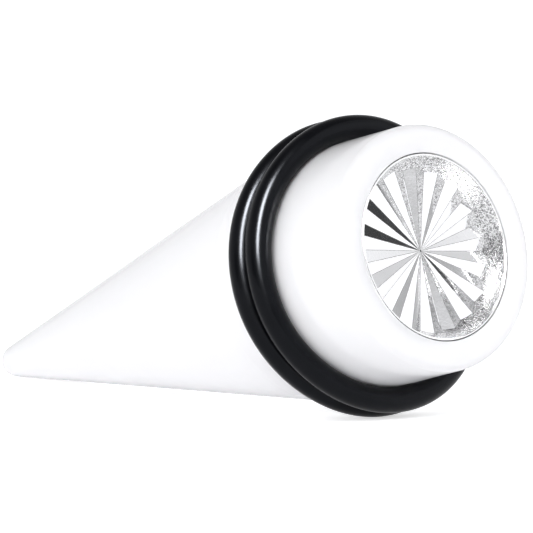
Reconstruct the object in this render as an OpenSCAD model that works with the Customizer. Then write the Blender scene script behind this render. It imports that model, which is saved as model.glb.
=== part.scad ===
// Ear stretching taper: a cone with a short barrel, two O-rings and a star-cut silver cup.
// It lies on its rear O-ring and its tip, with the fat end towards +X, on the plane z = 0.
// The origin is under the middle of its bounding box. All lengths are in millimetres.
// Along the taper's own axis, s is 0 at the crest of the lip and falls towards the tip.

/* [Body] */
// Diameter of the barrel, which is the gauge of the taper
barrel_d = 25.4; // [20:0.1:32]
// Length over all, from the tip to the crest of the lip
total_l = 82; // [60:0.5:110]
// Length of the barrel, from the crest of the lip to the corner where the cone starts
barrel_l = 19.25; // [18:0.25:24]
// Length of the barrel's cylindrical stretch, where the ear sits, from that corner
seat_l = 4.2; // [2:0.1:4.3]
// How much smaller the barrel's diameter has become where it meets the lip
narrowing = 1; // [0:0.05:1.5]
// Radius of the rounded tip
tip_r = 2; // [1:0.1:3.5]
// Radius that rounds the corner between the cone and the barrel
shoulder_r = 6.5; // [2:0.25:10]

/* [Lip] */
// Width of the lip, from the barrel's side to the recess that holds the cup
lip_w = 2.9; // [2.5:0.05:4]
// Radius of the lip's outer edge
lip_r = 1.2; // [0.8:0.05:2]
// How far the rim of the recess lies below the crest of the lip
lip_drop = 0.45; // [0.2:0.05:0.8]

/* [Star cup] */
// Clearance between the cup and the recess, at the side and at the bottom
cup_gap = 0.05; // [0.03:0.01:0.15]
// How far the cup's edge is sunk below the rim of the recess
cup_sink = 0.05; // [0:0.01:0.2]
// Width of the cup's plain edge
edge_w = 0.25; // [0.15:0.05:0.5]
// Height of the upright land inside the edge
land_h = 0.2; // [0.1:0.05:0.4]
// Angle of the sloping wall, measured from the axis
wall_angle = 28; // [15:1:40]
// Depth of the star's centre below the cup's edge
star_depth = 2.4; // [1.8:0.05:3.2]
// Number of ridges in the star
ridges = 18; // [8:1:24]
// Angle at which the ridges rise from the centre
ridge_rise = 4.8; // [3:0.1:7]
// Angle at which the valleys rise from the centre
valley_rise = 1.7; // [0:0.1:2.5]
// Angle of the first ridge from the lowest side of the end face
star_turn = 18.9; // [0:0.1:45]
// Thickness of the cup under the star's centre
floor_t = 0.8; // [0.5:0.05:1.5]

/* [O-rings] */
// Diameter of the O-rings' round section
ring_section = 2.5; // [1.5:0.1:3]
// Distance of the rear O-ring's middle from the crest of the lip
rear_ring_at = 12.8; // [11:0.1:13.5]
// Clearance between an O-ring and the barrel
ring_fit = 0.05; // [0.03:0.01:0.1]
// Clearance between the two O-rings
ring_gap = 0.1; // [0.05:0.01:0.4]
// Angle by which the quarters of each O-ring lean, top and bottom towards the lip, sides towards the cone
ring_lean = 9.6; // [0:0.1:11]

/* [Hidden] */
$fn = 96;

barrel_r = barrel_d / 2;
end_r = barrel_r - narrowing / 2;
recess_r = end_r - lip_w;

// Cone: a straight line from the barrel's corner, tangent to the rounded tip
tip_s = tip_r - total_l;
corner_s = -barrel_l;
cone_run = corner_s - tip_s;
cone_angle = atan(barrel_r / cone_run) - asin(tip_r / norm([barrel_r, cone_run]));

// Shoulder: an arc tangent to the cone and to the barrel
shoulder_t = shoulder_r * tan(cone_angle / 2);
shoulder_s = corner_s + shoulder_t;

// Lip: an outer arc up to the crest, then a flatter inner arc down to the rim
crest_r = end_r - lip_r;
rim_w = crest_r - recess_r;
inner_lip_r = (rim_w * rim_w + lip_drop * lip_drop) / (2 * lip_drop);
inner_lip_angle = asin(rim_w / inner_lip_r);
seat_s = corner_s + seat_l;
narrow_run = -lip_r - seat_s;
narrow_rise = barrel_r - crest_r;
narrow_angle = atan(narrow_rise / narrow_run) - asin(lip_r / norm([narrow_rise, narrow_run]));

// Star cup
cup_r = recess_r - cup_gap;
cup_top_s = -lip_drop - cup_sink;
star_s = cup_top_s - star_depth;
cup_base_s = star_s - floor_t;
recess_base_s = cup_base_s - cup_gap;
land_r = cup_r - edge_w;
// Room above the cup's edge and beyond its side, so that the cutting solids pass right through
past = 1;

// O-rings: each is sized to the widest of the barrel under it. Its middle line is four arcs in leaning planes,
// which meet at four joints, each as far along x as along y, where neighbouring arcs share a tangent
ring_r = ring_section / 2;
arc_half = atan(1 / cos(ring_lean));
arc_reach = norm([1, cos(ring_lean)]);
arc_rise = arc_reach - cos(ring_lean);
joint_slope = atan(tan(ring_lean) / sqrt(2));
// How much larger than the O-ring's section the ball is that joins two arcs
joint_swell = 0.005;
ring_pitch = (ring_section + ring_gap) / cos(joint_slope);
rear_ring_s = -rear_ring_at;
front_ring_s = rear_ring_s + ring_pitch;
function barrel_r_at(s) = barrel_r - max(0, s - seat_s) * tan(narrow_angle);
function ring_mid_r(s) = barrel_r_at(s - ring_r) + ring_fit + ring_r;
function ring_joint(s) = ring_mid_r(s) / (1 + arc_rise * cos(ring_lean));

// Lying pose: the taper tilts until the rear O-ring and the tip both touch z = 0
ring_low_s = rear_ring_s + ring_joint(rear_ring_s) * arc_rise * sin(ring_lean);
ring_to_tip = ring_low_s - tip_s;
ring_over_tip = ring_r - tip_r;
rear_ring_r = ring_mid_r(rear_ring_s);
pose_a = ring_to_tip * ring_to_tip + rear_ring_r * rear_ring_r;
pose_b = ring_to_tip * ring_over_tip;
pose_c = rear_ring_r * rear_ring_r - ring_over_tip * ring_over_tip;
lie_angle = asin((pose_b + sqrt(pose_b * pose_b + pose_a * pose_c)) / pose_a);
lie_z = tip_r - tip_s * sin(lie_angle);
x_tip = tip_s * cos(lie_angle) - tip_r;
x_end = crest_r * sin(lie_angle) + lip_r - lip_r * cos(lie_angle);
lie_x = -(x_tip + x_end) / 2;

module lying() {
    translate([lie_x, 0, lie_z])
        rotate([0, 90 - lie_angle, 0])
            children();
}

// Part of a disc between two directions, given as angles from +r
module sector(centre, r, from, to) {
    reach = 2 * r;
    middle = (from + to) / 2;
    intersection() {
        translate(centre)
            circle(r);
        polygon([
            centre,
            centre + reach * [cos(from), sin(from)],
            centre + reach * [cos(middle), sin(middle)],
            centre + reach * [cos(to), sin(to)]
        ]);
    }
}

// Half of the body's section, with the radius along x and s along y
module body_section() {
    shoulder_c = [barrel_r - shoulder_r, shoulder_s];
    lip_c = [crest_r, -lip_r];
    polygon([
        [0, tip_s - tip_r / 2],
        [tip_r * cos(cone_angle), tip_s - tip_r * sin(cone_angle)],
        shoulder_c + shoulder_r * [cos(cone_angle), -sin(cone_angle)],
        [barrel_r, shoulder_s],
        [barrel_r, seat_s],
        lip_c + lip_r * [cos(narrow_angle), sin(narrow_angle)],
        [crest_r, 0],
        [recess_r, -lip_drop],
        [recess_r, recess_base_s],
        [0, recess_base_s]
    ]);
    sector([0, tip_s], tip_r, -90, -cone_angle);
    sector(shoulder_c, shoulder_r, -cone_angle, 0);
    sector(lip_c, lip_r, narrow_angle, 90);
    sector([crest_r, -inner_lip_r], inner_lip_r, 90, 90 + inner_lip_angle);
}

module taper_body() {
    color("white")
        lying()
            rotate_extrude()
                body_section();
}

// Room inside the cup's land and wall, running on below the star
module cup_room() {
    deep = star_depth + past;
    rotate_extrude()
        polygon([
            [0, cup_top_s + past],
            [land_r, cup_top_s + past],
            [land_r, cup_top_s - land_h],
            [land_r - (deep - land_h) * tan(wall_angle), cup_top_s - deep],
            [0, cup_top_s - deep]
        ]);
}

// Everything above the star, whose facets each run from the centre to one side of a ridge
module above_star() {
    reach = cup_r + past;
    turns = [for (i = [0 : 2 * ridges - 1]) star_turn + i * 180 / ridges];
    foot = [for (i = [0 : 2 * ridges - 1])
        [reach * cos(turns[i]), reach * sin(turns[i]),
         star_s + reach * tan(i % 2 == 0 ? ridge_rise : valley_rise)]];
    head = [for (a = turns) [reach * cos(a), reach * sin(a), cup_top_s + past]];
    n = len(turns);
    polyhedron(
        points = concat([[0, 0, star_s]], foot, head),
        faces = concat(
            [for (i = [0 : n - 1]) [0, 1 + i, 1 + (i + 1) % n]],
            [for (i = [0 : n - 1]) [1 + i, 1 + n + i, 1 + n + (i + 1) % n, 1 + (i + 1) % n]],
            [[for (i = [n - 1 : -1 : 0]) 1 + n + i]]
        )
    );
}

module star_insert() {
    color("silver")
        lying()
            difference() {
                translate([0, 0, cup_base_s])
                    cylinder(r = cup_r, h = cup_top_s - cup_base_s);
                intersection() {
                    cup_room();
                    above_star();
                }
            }
}

// A quarter of an O-ring, centred on +X, whose middle leans towards the lip, or away from it for a negative
// angle, and the ball in which it meets the next quarter
module ring_quarter(joint, lean) {
    translate(joint * sin(lean) * [sin(lean), 0, -cos(lean)])
        rotate([0, -lean, 0])
            rotate([0, 0, -arc_half])
                rotate_extrude(angle = 2 * arc_half)
                    translate([joint * arc_reach, 0])
                        circle(ring_r);
    translate([joint, joint, 0])
        sphere(ring_r + joint_swell);
}

module o_ring(s) {
    color("black")
        lying()
            translate([0, 0, s])
                for (i = [0 : 3])
                    rotate([0, 0, 90 * i])
                        ring_quarter(ring_joint(s), i % 2 == 0 ? ring_lean : -ring_lean);
}

module o_ring_rear() {
    o_ring(rear_ring_s);
}

module o_ring_front() {
    o_ring(front_ring_s);
}

taper_body();
star_insert();
o_ring_rear();
o_ring_front();
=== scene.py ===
"""Ear stretching taper: the looks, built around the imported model.

Everything is in metres. The taper lies along its own axis, on which s is 0 at the crest of the lip
and falls towards the tip. Its pieces are made upright along that axis and then laid down together.
"""

import math

import bmesh
import bpy
from mathutils import Matrix, Vector


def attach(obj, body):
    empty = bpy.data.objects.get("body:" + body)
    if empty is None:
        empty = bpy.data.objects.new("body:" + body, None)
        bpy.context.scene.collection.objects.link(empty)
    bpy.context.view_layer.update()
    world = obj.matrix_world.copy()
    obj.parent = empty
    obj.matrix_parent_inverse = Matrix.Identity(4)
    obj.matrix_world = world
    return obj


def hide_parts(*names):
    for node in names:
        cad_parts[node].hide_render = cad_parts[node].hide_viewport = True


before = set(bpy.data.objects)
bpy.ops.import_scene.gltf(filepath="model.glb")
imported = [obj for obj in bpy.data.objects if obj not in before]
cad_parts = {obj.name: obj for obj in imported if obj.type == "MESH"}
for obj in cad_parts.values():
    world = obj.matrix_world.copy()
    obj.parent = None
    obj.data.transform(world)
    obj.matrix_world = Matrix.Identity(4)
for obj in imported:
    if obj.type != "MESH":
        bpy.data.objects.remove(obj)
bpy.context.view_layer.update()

MM = 0.001

# Body
BARREL_R = 12.7 * MM
TOTAL_L = 82 * MM
BARREL_L = 19.25 * MM
SEAT_L = 4.2 * MM
NARROWING = 1 * MM
TIP_R = 2 * MM
SHOULDER_R = 6.5 * MM
LIP_W = 2.9 * MM
LIP_R = 1.2 * MM
LIP_DROP = 0.45 * MM

# Star cup
CUP_GAP = 0.05 * MM
CUP_SINK = 0.05 * MM
EDGE_W = 0.25 * MM
LAND_H = 0.2 * MM
WALL_ANGLE = math.radians(28)
STAR_DEPTH = 2.4 * MM
RIDGES = 18
RIDGE_RISE = math.radians(4.8)
VALLEY_RISE = math.radians(1.7)
STAR_TURN = math.radians(18.9)
FLOOR_T = 0.8 * MM

# O-rings
RING_SECTION = 2.5 * MM
REAR_RING_AT = 12.8 * MM
RING_FIT = 0.05 * MM
RING_GAP = 0.1 * MM
RING_LEAN = math.radians(9.6)

# Worked out from the sizes above
END_R = BARREL_R - NARROWING / 2
RECESS_R = END_R - LIP_W
TIP_S = TIP_R - TOTAL_L
CORNER_S = -BARREL_L
CONE_RUN = CORNER_S - TIP_S
CONE_ANGLE = math.atan(BARREL_R / CONE_RUN) - math.asin(TIP_R / math.hypot(BARREL_R, CONE_RUN))
SHOULDER_S = CORNER_S + SHOULDER_R * math.tan(CONE_ANGLE / 2)
CREST_R = END_R - LIP_R
RIM_W = CREST_R - RECESS_R
INNER_LIP_R = (RIM_W * RIM_W + LIP_DROP * LIP_DROP) / (2 * LIP_DROP)
INNER_LIP_ANGLE = math.asin(RIM_W / INNER_LIP_R)
SEAT_S = CORNER_S + SEAT_L
NARROW_RUN = -LIP_R - SEAT_S
NARROW_RISE = BARREL_R - CREST_R
NARROW_ANGLE = (math.atan(NARROW_RISE / NARROW_RUN)
                - math.asin(LIP_R / math.hypot(NARROW_RISE, NARROW_RUN)))
CUP_R = RECESS_R - CUP_GAP
CUP_TOP_S = -LIP_DROP - CUP_SINK
STAR_S = CUP_TOP_S - STAR_DEPTH
CUP_BASE_S = STAR_S - FLOOR_T
RECESS_BASE_S = CUP_BASE_S - CUP_GAP
LAND_R = CUP_R - EDGE_W
RING_R = RING_SECTION / 2
ARC_HALF = math.atan(1 / math.cos(RING_LEAN))
ARC_REACH = math.hypot(1, math.cos(RING_LEAN))
ARC_RISE = ARC_REACH - math.cos(RING_LEAN)
JOINT_SLOPE = math.atan(math.tan(RING_LEAN) / math.sqrt(2))
JOINT_TWIST = math.atan(math.cos(ARC_HALF) * math.tan(RING_LEAN))
REAR_RING_S = -REAR_RING_AT
FRONT_RING_S = REAR_RING_S + (RING_SECTION + RING_GAP) / math.cos(JOINT_SLOPE)


def barrel_r_at(s):
    return BARREL_R - max(0, s - SEAT_S) * math.tan(NARROW_ANGLE)


def ring_mid_r(s):
    return barrel_r_at(s - RING_R) + RING_FIT + RING_R


def ring_joint(s):
    """How far along x, and as far along y, two arcs of an O-ring's middle line meet."""
    return ring_mid_r(s) / (1 + ARC_RISE * math.cos(RING_LEAN))


def lying():
    """The transform that lays the taper on its rear O-ring and its tip."""
    low_s = REAR_RING_S + ring_joint(REAR_RING_S) * ARC_RISE * math.sin(RING_LEAN)
    run = low_s - TIP_S
    over = RING_R - TIP_R
    rear_r = ring_mid_r(REAR_RING_S)
    a = run * run + rear_r * rear_r
    b = run * over
    c = rear_r * rear_r - over * over
    angle = math.asin((b + math.sqrt(b * b + a * c)) / a)
    z = TIP_R - TIP_S * math.sin(angle)
    x_tip = TIP_S * math.cos(angle) - TIP_R
    x_end = CREST_R * math.sin(angle) + LIP_R - LIP_R * math.cos(angle)
    turn = Matrix.Rotation(math.pi / 2 - angle, 4, "Y")
    return Matrix.Translation((-(x_tip + x_end) / 2, 0, z)) @ turn


LYING = lying()


# Camera: its place and its view, as the photo shows the taper

LENS_MM = 148.6
SENSOR_MM = 36
CAMERA_AT = Vector((197.49, -142.64, 20.4)) * MM
CAMERA_AZIMUTH = math.radians(52.49)
CAMERA_PITCH = math.radians(-1.39)
SEEN_FAR = 6.0
SEEN_NEAR = 0.02


def make_camera():
    data = bpy.data.cameras.new("camera")
    data.lens = LENS_MM
    data.sensor_width = SENSOR_MM
    data.clip_start = SEEN_NEAR
    data.clip_end = SEEN_FAR
    cam = bpy.data.objects.new("camera", data)
    bpy.context.scene.collection.objects.link(cam)
    cam.location = CAMERA_AT
    cam.rotation_euler = (math.pi / 2 + CAMERA_PITCH, 0, CAMERA_AZIMUTH)
    bpy.context.scene.camera = cam


make_camera()


# Node helpers

class Nodes:
    """A material's or world's node tree, with a short way to add and link nodes."""

    def __init__(self, owner):
        owner.use_nodes = True
        self.tree = owner.node_tree
        self.tree.nodes.clear()

    def add(self, kind, **settings):
        n = self.tree.nodes.new(kind)
        for key, value in settings.items():
            setattr(n, key, value)
        return n

    def put(self, node, **values):
        """Sets sockets by name: a node's output is linked, anything else is a plain value."""
        for key, value in values.items():
            socket = node.inputs[key.replace("_", " ")]
            if isinstance(value, bpy.types.NodeSocket):
                self.tree.links.new(value, socket)
            else:
                socket.default_value = value
        return node

    def larger(self, a, b):
        n = self.add("ShaderNodeMath", operation="MAXIMUM")
        self.tree.links.new(a, n.inputs[0])
        self.tree.links.new(b, n.inputs[1])
        return n.outputs[0]

    def noise(self, vector, scale, detail=2.0, roughness=0.5):
        """Noise between 0 and 1, with its scale in waves per metre."""
        n = self.add("ShaderNodeTexNoise")
        self.put(n, Vector=vector, Scale=scale, Detail=detail, Roughness=roughness)
        return n.outputs["Fac"]

    def span(self, value, low, high, to_low, to_high):
        """Maps low to high onto to_low to to_high, with nothing beyond either end."""
        n = self.add("ShaderNodeMapRange")
        self.put(n, Value=value, From_Min=low, From_Max=high, To_Min=to_low, To_Max=to_high)
        return n.outputs["Result"]

    def tint(self, value, dark, light):
        """A colour between two, given as red, green and blue."""
        n = self.add("ShaderNodeMix", data_type="RGBA")
        self.tree.links.new(value, n.inputs["Factor"])
        n.inputs["A"].default_value = (*dark, 1)
        n.inputs["B"].default_value = (*light, 1)
        return n.outputs["Result"]

    def bump(self, height, strength, distance):
        n = self.add("ShaderNodeBump")
        self.put(n, Height=height, Strength=strength, Distance=distance)
        return n.outputs["Normal"]

    def finish(self, shader):
        out = self.add("ShaderNodeOutputMaterial")
        self.tree.links.new(shader.outputs[0], out.inputs["Surface"])


def own_place(t):
    """A point's place on the object that the material is on."""
    return t.add("ShaderNodeTexCoord").outputs["Object"]


def white_acrylic():
    """Polished plastic that light enters a little way, faintly cloudy."""
    mat = bpy.data.materials.new("white_acrylic")
    t = Nodes(mat)
    place = own_place(t)
    cloud = t.noise(place, scale=90, detail=3)
    haze = t.noise(place, scale=420, detail=4)
    polish = t.noise(place, scale=2600, detail=3)
    shader = t.add("ShaderNodeBsdfPrincipled")
    t.put(
        shader,
        Base_Color=t.tint(cloud, (0.905, 0.903, 0.925), (0.935, 0.934, 0.95)),
        Roughness=t.span(haze, 0.3, 0.7, 0.09, 0.16),
        IOR=1.49,
        Subsurface_Weight=0.25,
        Subsurface_Scale=1.2 * MM,
        Subsurface_Radius=(1.0, 0.95, 0.95),
        Normal=t.bump(polish, strength=0.06, distance=0.05 * MM),
    )
    t.finish(shader)
    return mat


def black_rubber():
    """Moulded rubber with a soft bluish sheen."""
    mat = bpy.data.materials.new("black_rubber")
    t = Nodes(mat)
    place = own_place(t)
    grain = t.noise(place, scale=5200, detail=3, roughness=0.6)
    patch = t.noise(place, scale=500, detail=3)
    shader = t.add("ShaderNodeBsdfPrincipled")
    t.put(
        shader,
        Base_Color=t.tint(patch, (0.001, 0.0011, 0.0018), (0.0022, 0.0024, 0.0036)),
        Roughness=t.span(patch, 0.3, 0.7, 0.2, 0.25),
        Specular_IOR_Level=0.14,
        Specular_Tint=(0.88, 0.92, 1.0, 1),
        Normal=t.bump(grain, strength=0.1, distance=0.02 * MM),
    )
    t.finish(shader)
    return mat


def cut_silver():
    """The star's facets: bright, with the finest of tool marks."""
    mat = bpy.data.materials.new("cut_silver")
    t = Nodes(mat)
    place = own_place(t)
    marks = t.noise(place, scale=3800, detail=3)
    cloud = t.noise(place, scale=700)
    shader = t.add("ShaderNodeBsdfPrincipled")
    t.put(
        shader,
        Base_Color=t.tint(cloud, (0.93, 0.93, 0.935), (0.98, 0.98, 0.985)),
        Metallic=1.0,
        Roughness=t.span(cloud, 0.3, 0.7, 0.05, 0.09),
        Normal=t.bump(marks, strength=0.09, distance=0.02 * MM),
    )
    t.finish(shader)
    return mat


def frosted_silver():
    """The cup's sloping wall: a fine grain of pits, each of which sparkles or stays dark."""
    mat = bpy.data.materials.new("frosted_silver")
    t = Nodes(mat)
    place = own_place(t)
    pits = t.add("ShaderNodeTexVoronoi")
    t.put(pits, Vector=place, Scale=10000.0)
    chance = t.add("ShaderNodeSeparateColor")
    t.put(chance, Color=pits.outputs["Color"])
    shade = t.span(chance.outputs["Red"], 0.1, 0.6, 0, 1)
    grain = t.noise(place, scale=12000, roughness=0.7)
    shader = t.add("ShaderNodeBsdfPrincipled")
    t.put(
        shader,
        Base_Color=t.tint(shade, (0.14, 0.14, 0.143), (0.82, 0.82, 0.825)),
        Metallic=1.0,
        Roughness=t.span(chance.outputs["Green"], 0, 1, 0.08, 0.2),
        Normal=t.bump(grain, strength=0.42, distance=0.04 * MM),
    )
    t.finish(shader)
    return mat


def painted_shade_silver(name, dark, light):
    """Dark metal painted for shade: the narrow flats along ridges and valleys, their meeting point
    and the cup's outside. The flats and the cup's outside carry painted shade, and the meeting
    point is painted near-black.
    """
    mat = bpy.data.materials.new(name)
    t = Nodes(mat)
    fine = t.span(t.noise(own_place(t), scale=5000), 0.35, 0.65, 0, 1)
    shader = t.add("ShaderNodeBsdfPrincipled")
    t.put(
        shader,
        Base_Color=t.tint(fine, (dark,) * 3, (light,) * 3),
        Metallic=1.0,
        Roughness=0.35,
    )
    t.finish(shader)
    return mat


def plain_silver():
    """The cup's edge and base."""
    mat = bpy.data.materials.new("plain_silver")
    t = Nodes(mat)
    fine = t.noise(own_place(t), scale=3000)
    shader = t.add("ShaderNodeBsdfPrincipled")
    t.put(
        shader,
        Base_Color=(0.9, 0.9, 0.905, 1),
        Metallic=1.0,
        Roughness=t.span(fine, 0.3, 0.7, 0.12, 0.22),
    )
    t.finish(shader)
    return mat


# Shapes

def arc(centre, radius, start, end, steps):
    """Points (r, s) along an arc, with angles in radians from +r."""
    return [
        (centre[0] + radius * math.cos(a), centre[1] + radius * math.sin(a))
        for a in (start + (end - start) * i / steps for i in range(steps + 1))
    ]


def line(a, b, steps):
    """Points along a straight line, without its two ends."""
    return [(a[0] + (b[0] - a[0]) * i / steps, a[1] + (b[1] - a[1]) * i / steps)
            for i in range(1, steps)]


def add_piece(name, bm, materials, node, sharp_over=math.radians(30)):
    """Lays the mesh down as an object that stands for a CAD node, smooth but for sharp edges."""
    bm.transform(LYING)
    bmesh.ops.recalc_face_normals(bm, faces=bm.faces)
    mesh = bpy.data.meshes.new(name)
    bm.to_mesh(mesh)
    bm.free()
    mesh.shade_smooth()
    mesh.set_sharp_from_angle(angle=sharp_over)
    for m in materials:
        mesh.materials.append(m)
    piece = bpy.data.objects.new(name, mesh)
    bpy.context.scene.collection.objects.link(piece)
    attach(piece, "root")
    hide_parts(node)
    return piece


def lathe(outline, segments):
    """Turns an open outline of (r, s) points round the axis. Its two ends lie on the axis."""
    bm = bmesh.new()
    first = bm.verts.new((0, 0, outline[0][1]))
    last = bm.verts.new((0, 0, outline[-1][1]))
    rows = [
        [bm.verts.new((r * math.cos(a), r * math.sin(a), s))
         for a in (2 * math.pi * k / segments for k in range(segments))]
        for r, s in outline[1:-1]
    ]
    for k in range(segments):
        n = (k + 1) % segments
        bm.faces.new((first, rows[0][k], rows[0][n]))
        for low, high in zip(rows, rows[1:]):
            bm.faces.new((low[k], low[n], high[n], high[k]))
        bm.faces.new((last, rows[-1][n], rows[-1][k]))
    return bm


BODY_SEGMENTS = 256
# Steps along each stretch of the body's section
TIP_STEPS = 20
CONE_STEPS = 24
SHOULDER_STEPS = 10
BARREL_STEPS = 8
LIP_STEPS = 20
RIM_STEPS = 12
RECESS_STEPS = 4


def body_outline():
    """Half of the body's section, from the tip's pole over the lip to the middle of the recess."""
    shoulder_c = (BARREL_R - SHOULDER_R, SHOULDER_S)
    lip_c = (CREST_R, -LIP_R)
    quarter = math.pi / 2
    rim_c = (CREST_R, -INNER_LIP_R)
    tip = arc((0, TIP_S), TIP_R, -quarter, -CONE_ANGLE, TIP_STEPS)
    shoulder = arc(shoulder_c, SHOULDER_R, -CONE_ANGLE, 0, SHOULDER_STEPS)
    seat = (BARREL_R, SEAT_S)
    lip = arc(lip_c, LIP_R, NARROW_ANGLE, quarter, LIP_STEPS)
    rim = arc(rim_c, INNER_LIP_R, quarter, quarter + INNER_LIP_ANGLE, RIM_STEPS)
    base = (RECESS_R, RECESS_BASE_S)
    return (
        tip + line(tip[-1], shoulder[0], CONE_STEPS) + shoulder
        + [seat] + line(seat, lip[0], BARREL_STEPS)
        + lip + rim[1:] + line(rim[-1], base, RECESS_STEPS) + [base, (0, RECESS_BASE_S)]
    )


def make_body():
    return add_piece("taper_body_skin", lathe(body_outline(), BODY_SEGMENTS), [white_acrylic()],
                     "taper_body")


FACET_STEPS = 8
# Rows of the star's mesh, as shares of the way from its centre to the wall
FACET_ROWS = (0.012, 0.04, 0.1, 0.2, 0.3, 0.4, 0.5, 0.6, 0.7, 0.8, 0.9, 1)
WALL_ROWS = 10
# Width of the flats along ridges and valleys
FLAT_W = 0.05 * MM
# Near the centre, half a flat takes at most one part in this many of a facet's angle
FACET_PARTS = 5
# How far a facet sags in its middle, below a straight line from the centre to the wall
FACET_SAG = 0.03 * MM
# Size of the softened edges at the cup's top and base
SOFT_EDGE = 0.04 * MM
# Angle between two of the cup's faces from which their edge stays sharp
CUP_SHARP_OVER = math.radians(4)


def facet_rise(turn):
    """Slope of the star from its centre, in a direction measured from the first ridge."""
    pitch = math.pi / RIDGES
    i = math.floor(turn / pitch)
    tans = (math.tan(RIDGE_RISE), math.tan(VALLEY_RISE))
    a, b = tans if i % 2 == 0 else tans[::-1]
    off = turn - i * pitch
    return (a * math.sin(pitch - off) + b * math.sin(off)) / math.sin(pitch)


def make_cup():
    """A dish whose floor is a star of faintly hollow facets with narrow flats between them."""
    bm = bmesh.new()
    # painted_shade is the painted shade on the flats and on the cup's outside; dark is the painted
    # near-black centre.
    cut, frosted, plain, painted_shade, dark = range(5)
    pitch = math.pi / RIDGES
    wall_run = 1 / math.tan(WALL_ANGLE)

    def point(r, turn, s):
        a = STAR_TURN + turn
        return bm.verts.new((r * math.cos(a), r * math.sin(a), s))

    def wall_foot(turn):
        """Distance from the axis at which the star meets the wall."""
        reach = LAND_R * wall_run - (STAR_DEPTH - LAND_H)
        return reach / (wall_run - facet_rise(turn))

    def strip(low, high, material, flat=None):
        """Faces between two rows. Those on the flats may have a material of their own."""
        n = len(low)
        for k in range(n):
            f = bm.faces.new((low[k], low[(k + 1) % n], high[(k + 1) % n], high[k]))
            on_flat = flat is not None and k % (FACET_STEPS + 1) == FACET_STEPS
            f.material_index = flat if on_flat else material

    def turns_at(r):
        """Directions of the mesh's columns at a given radius. The flats keep their width."""
        half = min(math.asin(min(1, FLAT_W / 2 / r)), pitch / FACET_PARTS)
        turns = []
        for i in range(2 * RIDGES):
            start, end = i * pitch + half, (i + 1) * pitch - half
            turns += [start + (end - start) * j / FACET_STEPS for j in range(FACET_STEPS + 1)]
        return turns

    centre = bm.verts.new((0, 0, STAR_S))
    rows = []
    for share in FACET_ROWS:
        turns = turns_at(LAND_R * share)
        row = []
        for t in turns:
            r = wall_foot(t) * share
            sag = 4 * FACET_SAG * share * (1 - share)
            row.append(point(r, t, STAR_S + r * facet_rise(t) - sag))
        rows.append(row)
    n = len(rows[0])
    # The centre fan is painted near-black: a painted dark spot where the facets meet.
    for k in range(n):
        f = bm.faces.new((centre, rows[0][k], rows[0][(k + 1) % n]))
        f.material_index = dark
    for low, high in zip(rows, rows[1:]):
        strip(low, high, cut, painted_shade)

    # Wall from the facets' ends up to the land, then land, edge, outside and base
    turns = turns_at(LAND_R)
    land_s = CUP_TOP_S - LAND_H
    previous = rows[-1]
    for j in range(1, WALL_ROWS + 1):
        row = []
        for t in turns:
            foot = wall_foot(t)
            r = foot + (LAND_R - foot) * j / WALL_ROWS
            row.append(point(r, t, land_s - (LAND_R - r) * wall_run))
        strip(previous, row, frosted)
        previous = row
    soft = SOFT_EDGE
    for r, s, material in (
        (LAND_R, CUP_TOP_S - soft, frosted),
        (LAND_R + soft, CUP_TOP_S, plain),
        (CUP_R - 2 * soft, CUP_TOP_S, plain),
        # The cup's outside is painted dark: painted shade standing in for the narrow gap between
        # cup and lip.
        (CUP_R, CUP_TOP_S - 2 * soft, painted_shade),
        (CUP_R, CUP_BASE_S + soft, painted_shade),
        (CUP_R - soft, CUP_BASE_S, plain),
    ):
        row = [point(r, t, s) for t in turns]
        strip(previous, row, material)
        previous = row
    base = bm.verts.new((0, 0, CUP_BASE_S))
    for k in range(n):
        f = bm.faces.new((base, previous[(k + 1) % n], previous[k]))
        f.material_index = plain
    # The last two silvers are painted dark: painted shade on the flats and the cup's outside, and a
    # painted near-black centre.
    silvers = [cut_silver(), frosted_silver(), plain_silver(),
               painted_shade_silver("painted_shade_silver", 0.08, 0.35), painted_shade_silver("painted_dark_centre_silver", 0.005, 0.03)]
    return add_piece("star_cup", bm, silvers, "star_insert", CUP_SHARP_OVER)


ARC_SEGMENTS = 72
SECTION_SEGMENTS = 48
# The soft rubber is drawn this much nearer to the barrel, and as much thicker, than the clear solid
GRIP = 0.03 * MM


def ring_sections(joint, quarter):
    """Round sections along one of an O-ring's four arcs. Their points line up where arcs meet."""
    lean, twist = (RING_LEAN, -JOINT_TWIST) if quarter % 2 == 0 else (-RING_LEAN, JOINT_TWIST)
    tau = 2 * math.pi
    turn = Matrix.Rotation(quarter * math.pi / 2, 3, "Z")
    middle = joint * math.sin(lean) * Vector((math.sin(lean), 0, -math.cos(lean)))
    out = Vector((math.cos(lean), 0, math.sin(lean)))
    up = Vector((-math.sin(lean), 0, math.cos(lean)))
    round_r = RING_R + GRIP
    joint -= GRIP
    for k in range(ARC_SEGMENTS):
        a = ARC_HALF * (2 * k / ARC_SEGMENTS - 1)
        away = math.cos(a) * out + math.sin(a) * Vector((0, 1, 0))
        centre = middle + joint * ARC_REACH * away
        yield [
            turn @ (centre + round_r * (math.cos(b) * away + math.sin(b) * up))
            for b in (twist + tau * j / SECTION_SEGMENTS for j in range(SECTION_SEGMENTS))
        ]


def make_ring(name, s, node, material):
    """An O-ring: its top and bottom lean towards the lip, its sides towards the cone."""
    bm = bmesh.new()
    rows = [
        [bm.verts.new((p.x, p.y, p.z + s)) for p in section]
        for quarter in range(4)
        for section in ring_sections(ring_joint(s), quarter)
    ]
    for k, here in enumerate(rows):
        there = rows[(k + 1) % len(rows)]
        for j in range(SECTION_SEGMENTS):
            m = (j + 1) % SECTION_SEGMENTS
            bm.faces.new((here[j], there[j], there[m], here[m]))
    return add_piece(name, bm, [material], node)


# Studio: floor, lights and tent

FLOOR_SIZE = 12.0
# Glow of the floor for soft light, for mirrored light and for the camera
FLOOR_GLOW = 0.12
FLOOR_SHINE = 0.35
FLOOR_LIFT = 0.6


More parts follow.
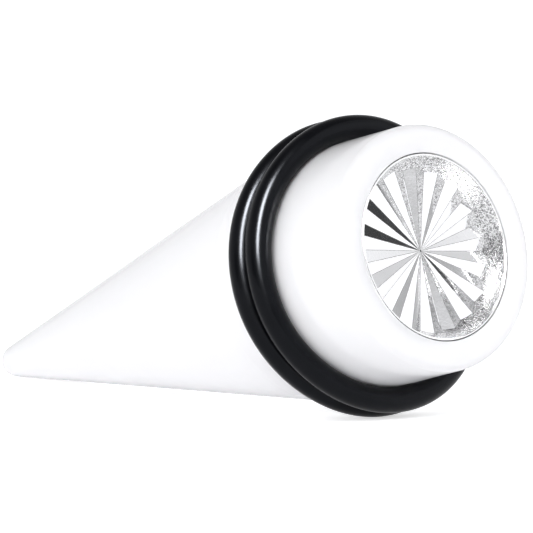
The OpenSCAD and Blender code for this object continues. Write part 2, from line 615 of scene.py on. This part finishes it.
def make_floor():
    bm = bmesh.new()
    half = FLOOR_SIZE / 2
    corners = ((-half, -half), (half, -half), (half, half), (-half, half))
    bm.faces.new([bm.verts.new((x, y, 0)) for x, y in corners])
    mesh = bpy.data.meshes.new("floor")
    bm.to_mesh(mesh)
    bm.free()
    mat = bpy.data.materials.new("floor")
    t = Nodes(mat)
    shader = t.add("ShaderNodeBsdfPrincipled")
    t.put(shader, Base_Color=(0.9, 0.9, 0.91, 1), Roughness=0.9, Specular_IOR_Level=0.0)
    path = t.add("ShaderNodeLightPath")
    mirrored = t.span(path.outputs["Is Glossy Ray"], 0, 1, FLOOR_GLOW, FLOOR_SHINE)
    seen = t.span(path.outputs["Is Camera Ray"], 0, 1, 0, FLOOR_LIFT)
    glow = t.add("ShaderNodeEmission")
    t.put(glow, Strength=t.larger(mirrored, seen))
    both = t.add("ShaderNodeAddShader")
    t.tree.links.new(shader.outputs[0], both.inputs[0])
    t.tree.links.new(glow.outputs[0], both.inputs[1])
    t.finish(both)
    mesh.materials.append(mat)
    floor = bpy.data.objects.new("floor", mesh)
    bpy.context.scene.collection.objects.link(floor)


# Where the lights point
AIM = Vector((30, 0, 16)) * MM


def direction(azimuth, elevation):
    """Unit vector: azimuth in degrees from +X towards +Y, elevation above the horizon."""
    a, e = math.radians(azimuth), math.radians(elevation)
    return Vector((math.cos(a) * math.cos(e), math.sin(a) * math.cos(e), math.sin(e)))


def soft_light(name, azimuth, elevation, distance, width, height, radiance, mirrored):
    """A rectangular softbox that faces the taper, either for its reflections or for soft light."""
    data = bpy.data.lights.new(name, "AREA")
    data.shape = "RECTANGLE"
    data.size = width
    data.size_y = height
    data.energy = radiance * math.pi * width * height
    lamp = bpy.data.objects.new(name, data)
    bpy.context.scene.collection.objects.link(lamp)
    away = direction(azimuth, elevation)
    lamp.location = AIM + away * distance
    lamp.rotation_mode = "QUATERNION"
    lamp.rotation_quaternion = away.to_track_quat("Z", "Y")
    lamp.visible_camera = False
    lamp.visible_diffuse = not mirrored
    lamp.visible_glossy = mirrored


# Name, azimuth, elevation, distance, width and height, radiance, whether reflections show it
SOFT_LIGHTS = (
    ("gleam", -45, 36, 0.6, 0.2, 0.34, 110, True),
    ("side", -80, 6, 0.8, 0.8, 0.32, 3.5, False),
    ("above", -66, 36, 0.8, 0.8, 0.5, 1.9, False),
    ("front", 45, 32, 0.8, 0.6, 0.4, 1.7, False),
)
TENT_LEVEL = 0.85
TENT_COLOUR = (0.975, 0.98, 1.0, 1)
BACKDROP_LEVEL = 1.2
# Azimuth, elevation, inner and outer radius in degrees, radiance
TENT_PATCHES = (
    (0, 90, 30, 75, 0.25),
    (-50, 0, 25, 50, 0.3),
    (-92, 5, 9, 17, 0.15),
    (38, 15, 34, 44, 1.2),
    (71, 1, 2, 7, 0.45),
    (77.5, 7, 4, 8, 0.5),
    (79.5, 17, 5, 10, 0.2),
    (74, 28, 5, 11, 0.05),
    (52, 44, 6, 13, 0.7),
    (7.5, 13.3, 0.2, 4, 0.42),
)


def make_world():
    """A white tent with lighter and darker patches, and pure white where the camera sees it."""
    world = bpy.data.worlds.new("studio")
    bpy.context.scene.world = world
    t = Nodes(world)
    toward = t.add("ShaderNodeTexCoord").outputs["Generated"]
    value = TENT_LEVEL
    for azimuth, elevation, inner, outer, radiance in TENT_PATCHES:
        near = t.add("ShaderNodeVectorMath", operation="DOT_PRODUCT")
        t.tree.links.new(toward, near.inputs[0])
        near.inputs[1].default_value = direction(azimuth, elevation)
        edge, full = (math.cos(math.radians(a)) for a in (outer, inner))
        share = t.span(near.outputs["Value"], edge, full, 0, 1)
        mix = t.add("ShaderNodeMix", data_type="FLOAT")
        t.put(mix, Factor=share, A=value, B=radiance)
        value = mix.outputs["Result"]
    seen = t.add("ShaderNodeLightPath").outputs["Is Camera Ray"]
    clear = t.add("ShaderNodeMix", data_type="FLOAT")
    t.put(clear, Factor=seen, A=value, B=BACKDROP_LEVEL)
    glow = t.add("ShaderNodeBackground")
    t.put(glow, Color=TENT_COLOUR, Strength=clear.outputs["Result"])
    out = t.add("ShaderNodeOutputWorld")
    t.tree.links.new(glow.outputs[0], out.inputs["Surface"])


def make_studio():
    make_world()
    make_floor()
    for settings in SOFT_LIGHTS:
        soft_light(*settings)
    bpy.context.scene.view_settings.view_transform = "Standard"


make_body()
make_cup()
rubber = black_rubber()
make_ring("o_ring_rear_skin", REAR_RING_S, "o_ring_rear", rubber)
make_ring("o_ring_front_skin", FRONT_RING_S, "o_ring_front", rubber)
make_studio()
